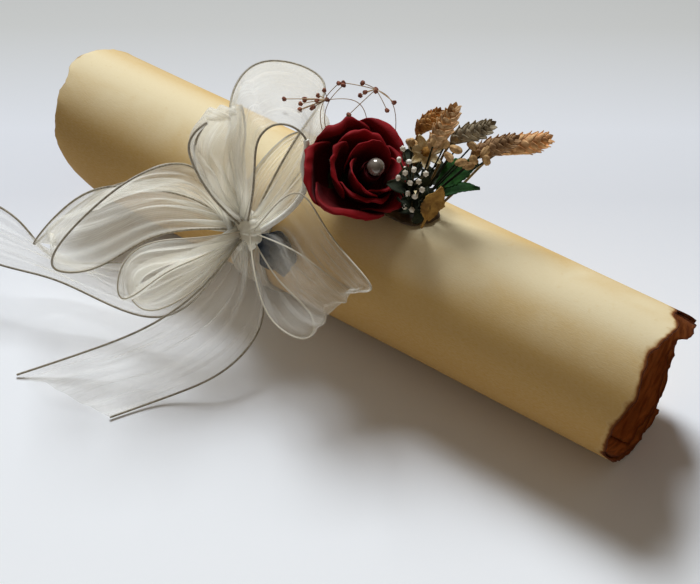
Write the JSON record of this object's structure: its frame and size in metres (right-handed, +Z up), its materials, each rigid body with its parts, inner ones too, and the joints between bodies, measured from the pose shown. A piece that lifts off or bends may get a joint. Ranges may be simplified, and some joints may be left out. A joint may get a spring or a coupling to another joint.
{
  "type": "ribbon-tied paper scroll",
  "caption": "Parchment sheet rolled into an open-ended scroll, tied with a sheer wire-edged ribbon and bow, a small dried rose corsage glued on top.",
  "frame": {"origin": "centre of the flat spot on which the roll lies, half-way along the sheet", "axes": "+X along the roll towards its open near end, +Y towards the back of the roll, away from the bow, +Z up"},
  "size_m": [0.2227, 0.1146, 0.0865],
  "materials": {
    "parchment": "matte",
    "organza": "sheer",
    "thread": "matte",
    "glue": "clear, dull",
    "dried_rose": "velvety",
    "pearl": "pearl",
    "dried_stem": "matte",
    "dried_leaf": "matte",
    "slate_petal": "matte"
  },
  "bodies": {
    "root": {"bud_sprig_1": "dried_stem", "bud_sprig_2": "dried_stem", "filler_sprig": "dried_stem", "glue_pad": "glue", "grass_ear_1": "dried_stem", "grass_ear_2": "dried_stem", "grass_ear_3": "dried_stem", "grass_ear_4": "dried_stem", "grass_ear_5": "dried_stem", "knot_tie": "thread", "leaf_dried_brown": "dried_leaf", "leaf_green_lower": "dried_leaf", "leaf_green_upper": "dried_leaf", "paper_roll": "parchment", "ribbon_band": "organza", "ribbon_knot": "organza", "ribbon_loop_left": "organza", "ribbon_loop_low": "organza", "ribbon_loop_right": "organza", "ribbon_loop_side": "organza", "ribbon_loop_up": "organza", "ribbon_tail_long": "organza", "ribbon_tail_out": "organza", "rose_core": "dried_rose", "rose_hip": "dried_leaf", "rose_pearl": "pearl", "rose_petal_inner_1": "dried_rose", "rose_petal_inner_2": "dried_rose", "rose_petal_inner_3": "dried_rose", "rose_petal_middle_1": "dried_rose", "rose_petal_middle_2": "dried_rose", "rose_petal_middle_3": "dried_rose", "rose_petal_middle_4": "dried_rose", "rose_petal_outer_1": "dried_rose", "rose_petal_outer_2": "dried_rose", "rose_petal_outer_3": "dried_rose", "rose_petal_outer_4": "dried_rose", "rose_petal_outer_5": "dried_rose", "slate_bloom": "slate_petal", "star_flower": "dried_stem"}
  },
  "joints": []
}
